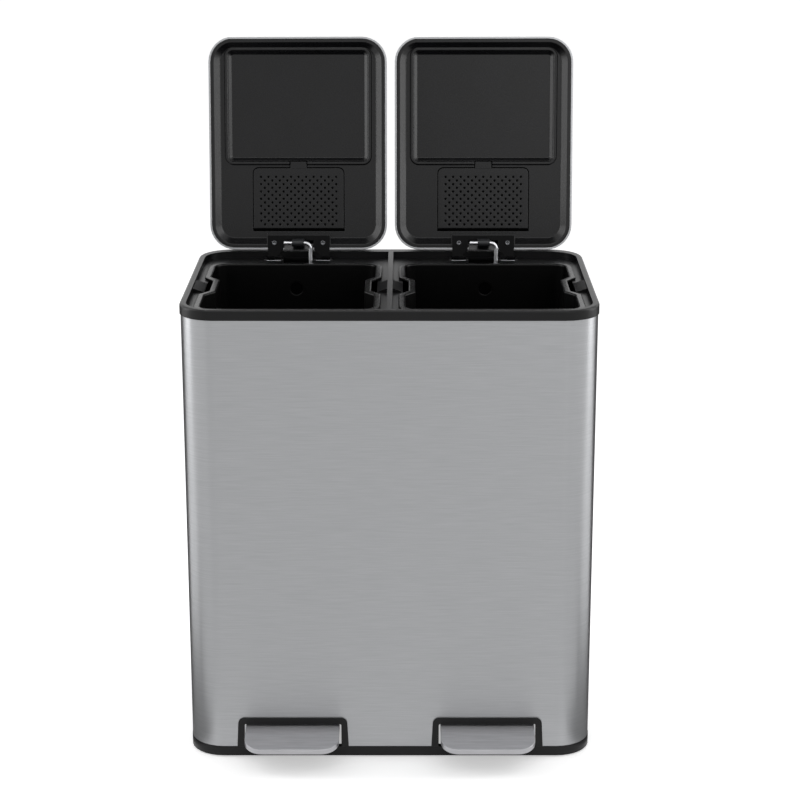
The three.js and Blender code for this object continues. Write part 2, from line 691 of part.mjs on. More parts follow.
/** The raised bead round the panel, with two sloping flanks. */
function bead() {
  const crest = fieldPlane - beadRise;
  const rings = (line) => loft(line.map(([inset, z]) => ring(beadPlan(inset), z)));
  const whole = rings([[0, fieldPlane + 1], [0, fieldPlane], [beadFlank, crest]]);
  const inside = beadBand - 2 * beadFlank;
  const hollow = rings([[beadBand, fieldPlane + 2], [beadBand, fieldPlane], [inside, crest - beadRise]]);
  return cut(whole, hollow);
}

/** The hollow over the recessed panel, with sloping sides. */
const panel = () => loft([[panelInset, fieldPlane - 1], [panelInset, fieldPlane],
  [panelInset + panelSlope, fieldPlane + panelDrop]].map(([inset, z]) => ring(beadPlan(inset), z)));

/** Plan outline of the raised bead on the liner, drawn in by a distance. */
const beadPlan = (inset) => roundedRect(inset - beadWidth / 2, beadRear - beadLength + inset,
  beadWidth / 2 - inset, beadRear - inset, Math.max(beadCorner - inset, 1));

/** Plan outline of the recess that the filter's cover lies in, grown by a wall. */
const recessPlan = (grow) => roundedRect(-coverWidth / 2 - coverGap - grow, coverFront - coverGap - grow,
  coverWidth / 2 + coverGap + grow, coverRear + coverSlot + grow, 1 + grow, coverCorner + coverGap + grow);

/** Plan outline of the recess for the cover's tab, which runs through the bead. */
const tabPlan = (grow) => roundedRect(-tabWidth / 2 - running - grow, coverFront - tabLength - running - grow,
  tabWidth / 2 + running + grow, coverFront + grow, 0);

/** Plan outline of the pocket behind the filter's cover, grown by a wall. */
function pocketPlan(grow) {
  const middle = (coverRear + coverFront) / 2;
  const [halfX, halfY] = [padWidth / 2 + gap + grow, padLength / 2 + gap + grow];
  return roundedRect(-halfX, middle - halfY, halfX, middle + halfY, padCorner + grow);
}

/** The filter's cover, drawn about its hinge line: its rear edge, at its face. */
function filterCover() {
  const half = coverWidth / 2;
  const plate = slab(roundedRect(-half, -coverLength, half, 0, 0.5, coverCorner), 0, coverThick);
  const tab = roundedRect(-tabWidth / 2, -coverLength - tabLength, tabWidth / 2, 1 - coverLength, 0, 2);
  return join(plate, slab(tab, 0, coverThick));
}

const carbonFilter = () => slab(pocketPlan(-gap), coverBack + gap, coverBack + gap + padThick);

/** Steel bracket on the liner: a bar, two legs that narrow towards the pins, and a hook on each. */
function hingeBracket() {
  const face = lidPlane - gap - bracketThick;
  const depth = [face, face + bracketThick];
  const bridge = block([-bracketHalf, bracketHalf], [-bracketFront, bracketBar - bracketFront], depth);
  const outline = [[legInside, -bracketFront], [bracketHalf, -bracketFront], [bracketHalf, -legEnd],
    [bracketHalf - legTip, -legEnd], [legInside, -legTaper]];
  const leg = slab(polygon(outline), ...depth);
  const legs = [leg, leg.scale([-1, 1, 1])];
  const holes = [-1, 1].map((s) => bar('z', face - 1, face + bracketThick + 1,
    [s * screwOffset, -screwSetback], screwShank + gap));
  return cut(join(bridge, ...legs, ...[-1, 1].map(hook)), ...holes);
}

/** An open hook round one pin, with the neck that joins it to its leg. */
function hook(s) {
  const outer = pinRadius + gap + hookWall;
  const [x0, x1] = span(s, bracketHalf - running - hookWidth, bracketHalf - running);
  const face = lidPlane - gap - bracketThick;
  const neck = sidePlate(polygon([[-legEnd - hookLap, face + bracketThick], [-legEnd - hookLap, face],
    [-outer, 0], [0, 0], [0, outer], [-hookLap, face + bracketThick]]), x0, x1);
  const mouthReach = 2 * outer;
  const half = THREE.MathUtils.degToRad(hookMouth / 2);
  const down = -Math.PI / 2 - THREE.MathUtils.degToRad(lidOpen - 90);
  const ray = (turn) => [mouthReach * Math.cos(down + turn), mouthReach * Math.sin(down + turn)];
  const mouth = sidePlate(polygon([[0, 0], ray(-half), ray(half)]), x0 - 1, x1 + 1);
  const bore = bar('x', x0 - 1, x1 + 1, [0, 0], pinRadius + gap);
  return cut(join(bar('x', x0, x1, [0, 0], outer), neck), bore, mouth);
}

/** A pan-head screw through the bracket into the liner; its head is on the bracket's face. */
function bracketScrew(s) {
  const face = lidPlane - gap - bracketThick;
  const place = [s * screwOffset, -screwSetback];
  const top = face - gap - screwHead;
  const head = bar('z', top, face - gap, place, screwRadius);
  const shank = bar('z', face - 2 * gap, face + bracketThick, place, screwShank);
  const [long, short] = [crossLength / 2, crossWidth / 2];
  const cross = [[long, short], [short, long]].map(([x, y]) => block([place[0] - x, place[0] + x],
    [place[1] - y, place[1] + y], [top - 1, top + crossDepth]));
  return cut(join(head, shank), ...cross);
}

/** The block that holds the rod's hooked end under the bracket's bar. */
function rodClip() {
  const outer = rodRadius + gap + clipWall;
  const top = lidPlane - gap - bracketThick - gap;
  const body = join(
    bar('x', -clipWidth / 2, clipWidth / 2, [-clipAhead, -clipBelow], outer),
    block([-clipWidth / 2, clipWidth / 2], [-clipAhead - outer, -clipAhead + outer], [-clipBelow, top]),
  );
  return cut(body, bar('x', -clipWidth, clipWidth, [-clipAhead, -clipBelow], rodRadius + gap));
}

// ---------------------------------------------------------------- link rods, drawn about the clips' axis

const clipTurned = new THREE.Vector3(0, -clipAhead, -clipBelow).applyAxisAngle(X_AXIS, openTurn);
const stopAtRest = forkTop + 2 * gap + (clipTurned.z + clipBelow); // above the floor, with the lid open

/** A bent rod: a short leg through the clip and a long one down to the lever. */
function linkRod() {
  const foot = stopAtRest - rodTail - (pinZ + clipTurned.z);
  const turns = [0, 1, 2, 3, 4, 5].map((i) => (Math.PI / 2) * (i / 5));
  const line = [
    [-rodHook, 0],
    ...turns.map((a) => [rodOffset - rodBend * (1 - Math.sin(a)), -rodBend * (1 - Math.cos(a))]),
    [rodOffset, foot],
  ].map(([x, z]) => new THREE.Vector3(x, 0, z));
  return sweep(line, rodRadius, 10);
}

/** A round tube along a line in one (x, z) plane, with mitred bends and flat ends. */
function sweep(line, radius, sidesRound) {
  const rings = line.map((point, i) => {
    const before = point.clone().sub(line[Math.max(i - 1, 0)]);
    const after = line[Math.min(i + 1, line.length - 1)].clone().sub(point);
    const [u, v] = [before, after].map((d) => (d.length() ? d.normalize() : null));
    const along = (u && v ? u.clone().add(v) : u ?? v).normalize();
    const stretch = 1 / (u && v ? along.dot(u) : 1);
    const across = new THREE.Vector3(0, 1, 0).cross(along);
    return Array.from({ length: sidesRound }, (_, k) => {
      const turn = (2 * Math.PI * k) / sidesRound;
      return point.clone().addScaledVector(across, radius * stretch * Math.cos(turn))
        .add(new THREE.Vector3(0, radius * Math.sin(turn), 0)).toArray();
    });
  });
  return loft(rings);
}

/** The push-on stop that rests on the lever's fork while the lid is closed. */
function rodStop() {
  const low = stopAtRest - (pinZ + clipTurned.z);
  return cut(bar('z', low, low + stopHeight, [rodOffset, 0], stopRadius),
    bar('z', low - 1, low + stopHeight + 1, [rodOffset, 0], rodRadius + gap));
}

// ---------------------------------------------------------------- pedals and levers

const pedalTurn = THREE.MathUtils.degToRad(pedalSlope);

/** The pedal's plan outline, drawn in by a distance; in front it has round corners. */
const pedalPlan = (inset, rearInset = inset) => roundedRect(inset - pedalWidth / 2, inset - pedalReach,
  pedalWidth / 2 - inset, pedalInside - rearInset, 0, pedalCorner - inset);

function pedalCap() {
  const skin = slab(pedalPlan(0), -capFlange, 0);
  return cut(skin, slab(pedalPlan(capSheet, -1), -capFlange - 1, -capSheet));
}

function pedalCore() {
  const inset = capSheet + gap;
  const body = slab(pedalPlan(inset, 0), -capSheet - gap - coreThick, -capSheet - gap);
  return cut(body, tongue(gap));
}

/** The lever's tongue inside the pedal, grown by a clearance, in the pedal's sloped frame. */
function tongue(clearance) {
  const middle = -capSheet - gap - coreThick / 2;
  const wide = tongueWidth / 2 + clearance;
  const thick = tongueThick / 2 + clearance;
  const along = [-tongueStart - clearance, tongueEnd + clearance];
  return block([-wide, wide], along, [middle - thick, middle + thick]);
}

/** The middle height of the lever's slope at a distance behind the cabinet's front face. */
const onSlope = (y) => pivotZ + (leverRearZ - pivotZ) * ((y - pivotY) / (leverRear - pivotY));

/** The steel lever: a channel from the pedal's tongue to an upright that carries the fork. */
function pedalLever(s) {
  const half = leverHeight / 2;
  const side = leverWidth / 2;
  const underPedal = pedalTop - 2 * capSheet;
  const [kneeTop, rearTop] = [onSlope(tongueEnd) + half, leverRearZ + half];
  const topLine = [[leverRear, rearTop], [leverKnee, kneeTop], [leverStart, underPedal]];
  const flank = polygon([[leverStart, pedalTop - capFlange], [leverKnee, kneeTop - leverHeight],
    [leverRear, rearTop - leverHeight], ...topLine]);
  const web = polygon([[leverStart, underPedal - leverSheet], [leverKnee, kneeTop - leverSheet],
    [leverRear, rearTop - leverSheet], ...topLine]);
  const nose = tongue(0).rotate([pedalSlope, 0, 0]).translate(0, 0, pedalTop);
  const upright = block([-side, side], [leverRear - leverSheet, leverRear], [rearTop - leverHeight, forkTop]);
  const rodX = rodOffset + s * (lidX - pedalX);
  const [forkNear, forkFar] = [rodX - slotHalf - forkWall, rodX + slotHalf + forkWall];
  const flat = [forkTop - forkThick, forkTop];
  const arm = block([-side, forkFar], [leverRear - forkArm, leverRear + forkArm], flat);
  const fork = block([forkNear, forkFar], [forkStart, forkEnd], flat);
  const slot = block([rodX - slotHalf, rodX + slotHalf], [forkStart + forkWall, forkEnd - forkWall],
    [forkTop - forkThick - 1, forkTop + 1]);
  const whole = join(sidePlate(flank, -side, leverSheet - side), sidePlate(flank, side - leverSheet, side),
    sidePlate(web, -side, side), nose, upright, arm, fork);
  return cut(whole, slot, bar('x', -leverWidth, leverWidth, [pivotY, pivotZ], pivotRadius + gap));
}

// ---------------------------------------------------------------- whole bin

/** A lid with what is fixed to it, drawn closed about the pins' axis. */
const lidPieces = (side, s) => [
  piece(`lid_skin_${side}`, lidSkin(), brushedSteel),
  piece(`lid_liner_${side}`, lidLiner(), blackMoulding),
  piece(`carbon_filter_${side}`, carbonFilter(), carbonFoam),
  piece(`hinge_bracket_${side}`, hingeBracket(), greyMoulding),
  piece(`bracket_screw_${side}_outer`, bracketScrew(s), zincSteel),
  piece(`bracket_screw_${side}_inner`, bracketScrew(-s), zincSteel),
  piece(`rod_clip_${side}`, rodClip(), greyMoulding),
  assembly([0, coverRear, coverFace], 0, [piece(`filter_cover_${side}`, filterCover(), blackMoulding)]),
];

/** The pieces of one half of the bin that move, each group at its own place. */
function movingParts(side, s) {
  const clipPlace = [s * lidX, pinY + clipTurned.y, pinZ + clipTurned.z];
  return [
    assembly([s * bucketX, bucketY, 0], 0, [piece(`bucket_${side}`, bucket(), darkMoulding)]),
    assembly([s * lidX, pinY, pinZ], openTurn, lidPieces(side, s)),
    assembly(clipPlace, 0, [
      piece(`link_rod_${side}`, linkRod(), zincSteel),
      piece(`rod_stop_${side}`, rodStop(), greyMoulding),
    ]),
    assembly([s * pedalX, 0, pedalTop], pedalTurn, [
      piece(`pedal_cap_${side}`, pedalCap(), brushedSteel),
      piece(`pedal_core_${side}`, pedalCore(), darkMoulding),
    ]),
    assembly([s * pedalX, 0, 0], 0, [piece(`pedal_lever_${side}`, pedalLever(s), zincSteel)]),
  ];
}

const bin = new THREE.Group();
bin.add(...cabinet(), ...sides.flatMap(([side, s]) => movingParts(side, s)));

// the origin goes to the floor under the middle of the overall box
bin.updateMatrixWorld(true);
const overall = new THREE.Box3().setFromObject(bin, true);
bin.position.y = -(overall.min.y + overall.max.y) / 2;

export default bin;
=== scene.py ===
"""A double recycling bin, dressed for its picture.

Metres, +Z up, the front along -Y. The sheet steel, mouldings, hinges and pedals are finished from the frame's
solids. The perforated filter covers and the bent rods are worked out here.
"""

import json
import math

import bmesh
import bpy
import numpy as np
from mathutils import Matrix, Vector


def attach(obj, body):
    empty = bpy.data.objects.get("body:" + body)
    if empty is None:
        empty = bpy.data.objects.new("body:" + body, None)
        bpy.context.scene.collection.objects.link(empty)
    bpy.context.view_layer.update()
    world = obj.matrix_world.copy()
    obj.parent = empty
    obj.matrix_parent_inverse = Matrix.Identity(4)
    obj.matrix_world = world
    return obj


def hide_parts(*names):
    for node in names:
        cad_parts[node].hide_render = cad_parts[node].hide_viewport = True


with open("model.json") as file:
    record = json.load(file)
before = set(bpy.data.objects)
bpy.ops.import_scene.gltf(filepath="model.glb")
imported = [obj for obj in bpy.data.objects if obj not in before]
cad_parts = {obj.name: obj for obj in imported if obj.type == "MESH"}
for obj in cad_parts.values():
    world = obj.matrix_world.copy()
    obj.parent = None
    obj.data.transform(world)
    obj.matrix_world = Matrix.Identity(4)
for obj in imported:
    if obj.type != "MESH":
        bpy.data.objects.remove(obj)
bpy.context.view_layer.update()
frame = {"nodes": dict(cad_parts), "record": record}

MM = 0.001
SIDES = ("left", "right")

# ---------------------------------------------------------------- sizes, in millimetres

WELD = 0.01  # points nearer to each other than this become one

MOULDED_FILLET = 0.5
COLLAR_CROWN = 2.2  # radius of the collar's outer top edge
CROWN_SEGMENTS = 5
BUCKET_FILLET = 1.1
BUCKET_LIP = 5.0  # height of the bucket's rim that keeps a gloss, above the painted shade
ARCH_FILLET = 0.6
FOOT_FILLET = 0.6
PIN_FILLET = 0.4
SCREW_FILLET = 0.4
BRACKET_FILLET = 0.4
CLIP_FILLET = 0.3
STOP_FILLET = 0.4
LID_FILLET = 0.2
PAD_FILLET = 0.8
COVER_FILLET = 0.45
PEDAL_FILLET = 2.2

COVER_WIDTH = 116.7
COVER_LENGTH = 77.9
COVER_THICK = 1.6
COVER_CORNER = 7.0  # radius of its two corners beside the tab
TAB_SIZE = (21.0, 8.5)
TAB_PROUD = 0.15
TAB_ROOT = 1.0  # how far the tab runs into the plate
HOLE_RADIUS = 1.45
HOLE_PITCH = 9.74  # between the holes of one row
ROW_PITCH = 4.74  # between rows, each shifted by half a pitch
HOLE_ROWS = 14
HOLES_ACROSS = 10  # in every other row, with one more in the rows between
FIRST_ROW = 4.9  # from the cover's hinge line to its nearest row
CELL_STEPS = (4, 2)  # steps of a hole's cell across and along the cover
COVER_GAP = 1.0
COVER_SLOT = 3.6  # the gap behind the cover's hinge line
RECESS_LIP = 0.6  # how far the recess's walls keep the liner's gloss before the painted shade
RECESS_DEPTH = 20.0  # past the deepest of its walls
RECESS_SLACK = 0.1  # so that the recess's walls count as in it

ROD_RADIUS = 2.5
ROD_FILLET = 0.4
ROD_BEND = 7.5
ROD_FREE_END = 18.0  # from the clip's middle to the rod's end
ROD_LEG = 16.0  # from the clip's middle to the rod's long leg
ROD_SIDES = 28
BEND_STEPS = 12

# ---------------------------------------------------------------- angles, in degrees

FLAT_WITHIN = 0.5  # triangles that turn less than this are one flat face
SHARP = 35  # edges that turn more than this are rounded
LINER_SHARP = 20
PEDAL_SHARP = 50
ROD_SHARP = 60

RECORD = frame["record"]
BODY_OF = {node: body for body, nodes in RECORD["behaviour"]["bodies"].items() for node in nodes}
JOINT = {joint["name"]: joint for joint in RECORD["behaviour"]["joints"]}


# ---------------------------------------------------------------- meshes

def finish_piece(piece, material, *nodes):
    """Gives a piece its material, puts it on its nodes' body and lets it stand for those nodes."""
    piece.data.materials.clear()
    piece.data.materials.append(material)
    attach(piece, BODY_OF[nodes[0]])
    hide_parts(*nodes)
    return piece


def soften(piece, fillet, segments=2, sharp=SHARP, clamp=False):
    """Rounds the piece's sharp edges and shades its curves smooth, with flat faces kept flat."""
    piece.data.polygons.foreach_set("use_smooth", np.ones(len(piece.data.polygons), dtype=bool))
    if fillet:
        bevel = piece.modifiers.new("Fillet", "BEVEL")
        bevel.width = fillet * MM
        bevel.segments = segments
        bevel.limit_method = "ANGLE"
        bevel.angle_limit = math.radians(sharp)
        bevel.use_clamp_overlap = clamp
    else:
        piece.data.set_sharp_from_angle(angle=math.radians(sharp))
    weighted = piece.modifiers.new("Normals", "WEIGHTED_NORMAL")
    weighted.keep_sharp = True
    weighted.weight = 80


def crown_edges(work, centre):
    """The edges round the outside of a mesh's top: between a level face and an upright one.

    A face is level where its normal rises by over 0.9, and upright where it rises by less than 0.3. The
    upright one has to look outwards and lie over 80 mm out from the centre.
    """
    top = max(vert.co.z for vert in work.verts)
    found = []
    for edge in work.edges:
        if len(edge.link_faces) == 2 and all(abs(vert.co.z - top) < 0.1 * MM for vert in edge.verts):
            middle = (edge.verts[0].co + edge.verts[1].co) / 2 - centre
            level, upright = sorted(edge.link_faces, key=lambda face: -face.normal.z)
            if level.normal.z > 0.9 and upright.normal.z < 0.3 and upright.normal.dot(middle) > 0.08:
                found.append(edge)
    return found


def dressed(node, name, material, fillet=MOULDED_FILLET, segments=2, sharp=SHARP, clamp=False, crown=0):
    """A finished copy of one node's solid: its triangles joined into whole faces, its edges rounded."""
    mesh = frame["nodes"][node].data.copy()
    mesh.name = name
    piece = bpy.data.objects.new(name, mesh)
    bpy.context.collection.objects.link(piece)
    work = bmesh.new()
    work.from_mesh(mesh)
    bmesh.ops.remove_doubles(work, verts=work.verts, dist=WELD * MM)
    bmesh.ops.dissolve_limit(work, angle_limit=math.radians(FLAT_WITHIN), verts=work.verts, edges=work.edges)
    if crown:
        centre = sum((Vector(corner) for corner in piece.bound_box), Vector()) / 8
        bmesh.ops.bevel(work, geom=crown_edges(work, centre), offset=crown * MM, segments=CROWN_SEGMENTS,
                        profile=0.5, affect="EDGES", clamp_overlap=False)
    work.to_mesh(mesh)
    work.free()
    soften(piece, fillet, segments, sharp, clamp)
    return finish_piece(piece, material, node)


def add_finish(piece, material, chosen):
    """Gives a second material to the faces that chosen(middles, normals), arrays in metres, is true for."""
    mesh = piece.data
    mesh.materials.append(material)
    middles, normals = np.empty((2, 3 * len(mesh.polygons)))
    mesh.polygons.foreach_get("center", middles)
    mesh.polygons.foreach_get("normal", normals)
    second = chosen(middles.reshape(-1, 3), normals.reshape(-1, 3))
    mesh.polygons.foreach_set("material_index", second.astype(np.int32))


def new_piece(name, points, faces):
    """A mesh object from an array of points in millimetres and arrays of faces, with its doubles merged."""
    mesh = bpy.data.meshes.new(name)
    mesh.from_pydata((points * MM).tolist(), [], [face for group in faces for face in group.tolist()])
    work = bmesh.new()
    work.from_mesh(mesh)
    bmesh.ops.remove_doubles(work, verts=work.verts, dist=WELD * MM)
    bmesh.ops.recalc_face_normals(work, faces=work.faces)
    work.to_mesh(mesh)
    work.free()
    piece = bpy.data.objects.new(name, mesh)
    bpy.context.collection.objects.link(piece)
    return piece


def grid_faces(rows, columns, wrap=False):
    """The quads of a grid of points, row by row; wrap joins the last column to the first."""
    number = np.arange(rows * columns).reshape(rows, columns)
    if wrap:
        number = np.hstack([number, number[:, :1]])
    corners = [number[:-1, :-1], number[:-1, 1:], number[1:, 1:], number[1:, :-1]]
    return np.stack(corners, -1).reshape(-1, 4)


# ---------------------------------------------------------------- filter covers

def box_rim(half_x, half_y, across, along):
    """Points round a rectangle, anticlockwise from its lower left corner, in even steps along each side."""
    u = np.linspace(-1, 1, across + 1)[:-1] * half_x
    v = np.linspace(-1, 1, along + 1)[:-1] * half_y
    sides = [(u, 0 * u - half_y), (0 * v + half_x, v), (-u, 0 * u + half_y), (0 * v - half_x, -v)]
    return np.vstack([np.stack(side, -1) for side in sides])


def perforated_field():
    """The cover's holes: square cells in staggered rows, each a flat ring from the cell's rim to its hole.

    A cell's rim point at angle a is joined to the hole's point R (cos a, sin a). Every other row has one cell
    less and ends in two plain half cells.
    """
    rim = box_rim(HOLE_PITCH / 2, ROW_PITCH / 2, *CELL_STEPS)
    turn = np.arctan2(rim[:, 1], rim[:, 0])
    hole = HOLE_RADIUS * np.stack([np.cos(turn), np.sin(turn)], -1)
    row = np.repeat(np.arange(HOLE_ROWS), HOLES_ACROSS + 1)
    column = np.tile(np.arange(HOLES_ACROSS + 1), HOLE_ROWS)
    there = (column < HOLES_ACROSS) | (row % 2 == 1)
    row, column = row[there], column[there]
    first = np.where(row % 2 == 1, -HOLES_ACROSS / 2, (1 - HOLES_ACROSS) / 2)
    middle = np.stack([(first + column) * HOLE_PITCH, FIRST_ROW + row * ROW_PITCH], -1)
    rims = middle[:, None] + rim
    holes = middle[:, None] + hole
    plain_rows = FIRST_ROW + np.arange(0, HOLE_ROWS, 2) * ROW_PITCH
    ends = np.array([-1, 1]) * (HOLES_ACROSS / 2 + 0.25) * HOLE_PITCH
    plain_middle = np.stack(np.meshgrid(ends, plain_rows), -1).reshape(-1, 1, 2)
    plain = plain_middle + box_rim(HOLE_PITCH / 4, ROW_PITCH / 2, CELL_STEPS[0] // 2, CELL_STEPS[1])
    return rims, holes, plain


def cover_outline(across, along):
    """The cover's outline at the same steps as its field's rim, with its two far corners rounded.

    In a far corner's square of side r the point (x, y) of the square outline moves along its line from the
    corner arc's middle to the distance r from it.
    """
    points = box_rim(COVER_WIDTH / 2, COVER_LENGTH / 2, across, along)
    centre = np.array([COVER_WIDTH, COVER_LENGTH]) / 2 - COVER_CORNER
    offset = np.abs(points) - centre
    in_corner = (offset > 0).all(axis=1) & (points[:, 1] > 0)
    reach = np.linalg.norm(offset, axis=1, keepdims=True)
    arc = np.sign(points) * (centre + offset * COVER_CORNER / np.maximum(reach, 1e-6))
    return np.where(in_corner[:, None], arc, points) + [0, COVER_LENGTH / 2]


def cover_frame(side):
    """A cover's hinge, in millimetres of the scene, and its axes: across, away from the hinge, into the lid.

    With t the lid's opening the axes are X, (0, -cos t, sin t) and (0, sin t, cos t).
    """
    hinge = np.array(JOINT[f"filter_cover_{side}_hinge"]["pos_m"]) / MM
    opening = math.radians(-min(JOINT[f"lid_{side}_hinge"]["range_deg"]))
    rise, reach = math.sin(opening), math.cos(opening)
    return hinge, np.array([[1, 0, 0], [0, -reach, rise], [0, rise, reach]])


def cover_points(flat, depth, side):
    """Flat cover points (u across, v from the hinge line) at a depth under its face, as scene points.

    The place is hinge + u times the first axis + v times the second + depth times the third.
    """
    hinge, axes = cover_frame(side)
    return hinge + flat[..., :1] * axes[0] + flat[..., 1:2] * axes[1] + depth * axes[2]


def in_recess(middles, side):
    """True for the liner's faces in the cover's recess, which get the painted shade: those behind the plate,
    its tab and its slot.
    """
    hinge, axes = cover_frame(side)
    u, v, depth = axes @ (middles / MM - hinge).T
    across = np.abs(u) < COVER_WIDTH / 2 + COVER_GAP + RECESS_SLACK
    along = (v > -COVER_SLOT - RECESS_SLACK) & (v < COVER_LENGTH + TAB_SIZE[1] + COVER_GAP)
    return across & along & (depth > RECESS_LIP) & (depth < RECESS_DEPTH)


def perforated_cover(side):
    """A filter cover: its perforated field, the frame round it and the tab, between two parallel faces."""
    rims, holes, plain = perforated_field()
    across, along = CELL_STEPS[0] * (HOLES_ACROSS + 1), CELL_STEPS[1] * HOLE_ROWS
    field_size = ((HOLES_ACROSS + 1) * HOLE_PITCH, HOLE_ROWS * ROW_PITCH)
    field_middle = [0, FIRST_ROW + (HOLE_ROWS - 1) * ROW_PITCH / 2]
    field = box_rim(field_size[0] / 2, field_size[1] / 2, across, along) + field_middle
    outline = cover_outline(across, along)
    cells, sides = rims.shape[:2]
    ring = grid_faces(2, sides, wrap=True)
    frame_ring = grid_faces(2, len(field), wrap=True)
    points, faces, start = [], [], 0
    for depth in (0.0, COVER_THICK):
        cell_points = np.stack([rims, holes], 1).reshape(-1, 2)
        for group in (cell_points, plain.reshape(-1, 2), np.vstack([field, outline])):
            points.append(cover_points(group, depth, side))
        faces.append((ring + 2 * sides * np.arange(cells)[:, None, None] + start).reshape(-1, 4))
        start += len(cell_points)
        faces.append(np.arange(plain.shape[0] * plain.shape[1]).reshape(plain.shape[:2]) + start)
        start += plain.shape[0] * plain.shape[1]
        faces.append(frame_ring + start)
        start += 2 * len(field)
    for loop in (holes, outline[None]):
        walls = np.stack([cover_points(loop, 0.0, side), cover_points(loop, COVER_THICK, side)], 1)
        points.append(walls.reshape(-1, 3))
        wall = grid_faces(2, loop.shape[1], wrap=True)
        faces.append((wall + 2 * loop.shape[1] * np.arange(len(loop))[:, None, None] + start).reshape(-1, 4))
        start += walls.shape[0] * walls.shape[1] * walls.shape[2]
    tab = box_rim(TAB_SIZE[0] / 2, TAB_SIZE[1] / 2, 4, 2) + [0, COVER_LENGTH + TAB_SIZE[1] / 2]
    tab[:, 1] = np.where(tab[:, 1] < COVER_LENGTH + WELD, COVER_LENGTH - TAB_ROOT, tab[:, 1])
    points += [cover_points(tab, depth, side) for depth in (-TAB_PROUD, COVER_THICK - TAB_PROUD)]
    faces += [grid_faces(2, len(tab), wrap=True) + start, np.arange(2 * len(tab)).reshape(2, -1) + start]
    return new_piece(f"perforated_cover_{side}", np.vstack(points), faces)


# ---------------------------------------------------------------- link rods

def bent_rod(side):
    """A bent rod: the circle (r cos b, r sin b) carried along a level leg, a quarter bend and an upright leg.

    On the bend the axis is at angle a: x = leg - R + R sin a, z = R cos a - R, and the circle's plane turns
    with it.
    """
    place = np.array(JOINT[f"rod_{side}_pivot"]["pos_m"]) / MM
    low = min(corner[2] for corner in frame["nodes"][f"link_rod_{side}"].bound_box) / MM - place[2]
    a = np.linspace(0, math.pi / 2, BEND_STEPS + 1)
    bend = np.stack([ROD_LEG - ROD_BEND + ROD_BEND * np.sin(a), ROD_BEND * np.cos(a) - ROD_BEND], -1)
    axis = np.vstack([[-ROD_FREE_END, 0], bend, [ROD_LEG, low]])
    turn = np.concatenate([[0], a, [math.pi / 2]])
    b = np.linspace(0, 2 * math.pi, ROD_SIDES, endpoint=False)
    circle = ROD_RADIUS * np.stack([np.cos(b), np.sin(b)], -1)
    across = np.stack([np.sin(turn), 0 * turn, np.cos(turn)], -1)
    centres = np.stack([axis[:, 0], 0 * turn, axis[:, 1]], -1)
    rings = centres[:, None] + circle[:, :1] * across[:, None] + circle[:, 1:] * [0, 1, 0]
    ends = np.array([np.arange(ROD_SIDES), np.arange(ROD_SIDES) + (len(turn) - 1) * ROD_SIDES])
    walls = grid_faces(len(turn), ROD_SIDES, wrap=True)
    return new_piece(f"bent_rod_{side}", (rings + place).reshape(-1, 3), [walls, ends])


# ---------------------------------------------------------------- materials

def linear(code):
    """An sRGB hex colour as the linear colour that the shaders take."""
    values = np.array([int(code[i:i + 2], 16) for i in (1, 3, 5)]) / 255
    low = values <= 0.04045
    return (*np.where(low, values / 12.92, ((values + 0.055) / 1.055) ** 2.4), 1.0)


def new_material(name, colour, metallic=0.0, roughness=0.5, **inputs):
    """A material with its shader set; returns the material, its node tree and its shader."""
    material = bpy.data.materials.new(name)
    material.use_nodes = True
    tree = material.node_tree
    shader = tree.nodes["Principled BSDF"]
    shader.inputs["Base Color"].default_value = linear(colour)
    shader.inputs["Metallic"].default_value = metallic
    shader.inputs["Roughness"].default_value = roughness
    for label, value in inputs.items():
        shader.inputs[label.replace("_", " ")].default_value = value
    return material, tree, shader


def add_node(tree, kind, links=(), stops=(), **settings):
    """Adds a node; a setting is an attribute or, where there is none, an input.

    Links are (socket, input), and a ramp's stops are (position, colour).
    """
    node = tree.nodes.new(kind)
    for label, value in settings.items():
        if hasattr(node, label):
            setattr(node, label, value)
        else:
            node.inputs[label.replace("_", " ")].default_value = value
    for socket, label in links:
        tree.links.new(socket, node.inputs[label])
    for number, (position, colour) in enumerate(stops):
        node.color_ramp.elements[number].position = position
        node.color_ramp.elements[number].color = linear(colour)
    return node


def grain(tree, size, stretch=(1, 1, 1), detail=2.0, roughness=0.5):
    """Noise with a grain of the given size in millimetres, stretched along the axes; returns its value."""
    place = add_node(tree, "ShaderNodeTexCoord")
    scale = tuple(1 / (size * s * MM) for s in stretch)
    turned = add_node(tree, "ShaderNodeMapping", [(place.outputs["Object"], "Vector")], Scale=scale)
    noise = add_node(tree, "ShaderNodeTexNoise", [(turned.outputs["Vector"], "Vector")],
                     Scale=1.0, Detail=detail, Roughness=roughness)
    return noise.outputs["Fac"]


def vary_surface(tree, shader, tones, spread, colours, wear, roughness):
    """Colours the shader by the tones and roughens it by the wear, both patterns with values round a half.

    The two colours are reached a spread below and above a half, and the two roughnesses at 0.3 and 0.7.
    """
    ramp = add_node(tree, "ShaderNodeValToRGB", [(tones, "Fac")],
                    stops=[(0.5 - spread, colours[0]), (0.5 + spread, colours[1])])
    tree.links.new(ramp.outputs["Color"], shader.inputs["Base Color"])
    worn = add_node(tree, "ShaderNodeMapRange", [(wear, "Value")],
                    From_Min=0.3, From_Max=0.7, To_Min=roughness[0], To_Max=roughness[1])
    tree.links.new(worn.outputs["Result"], shader.inputs["Roughness"])


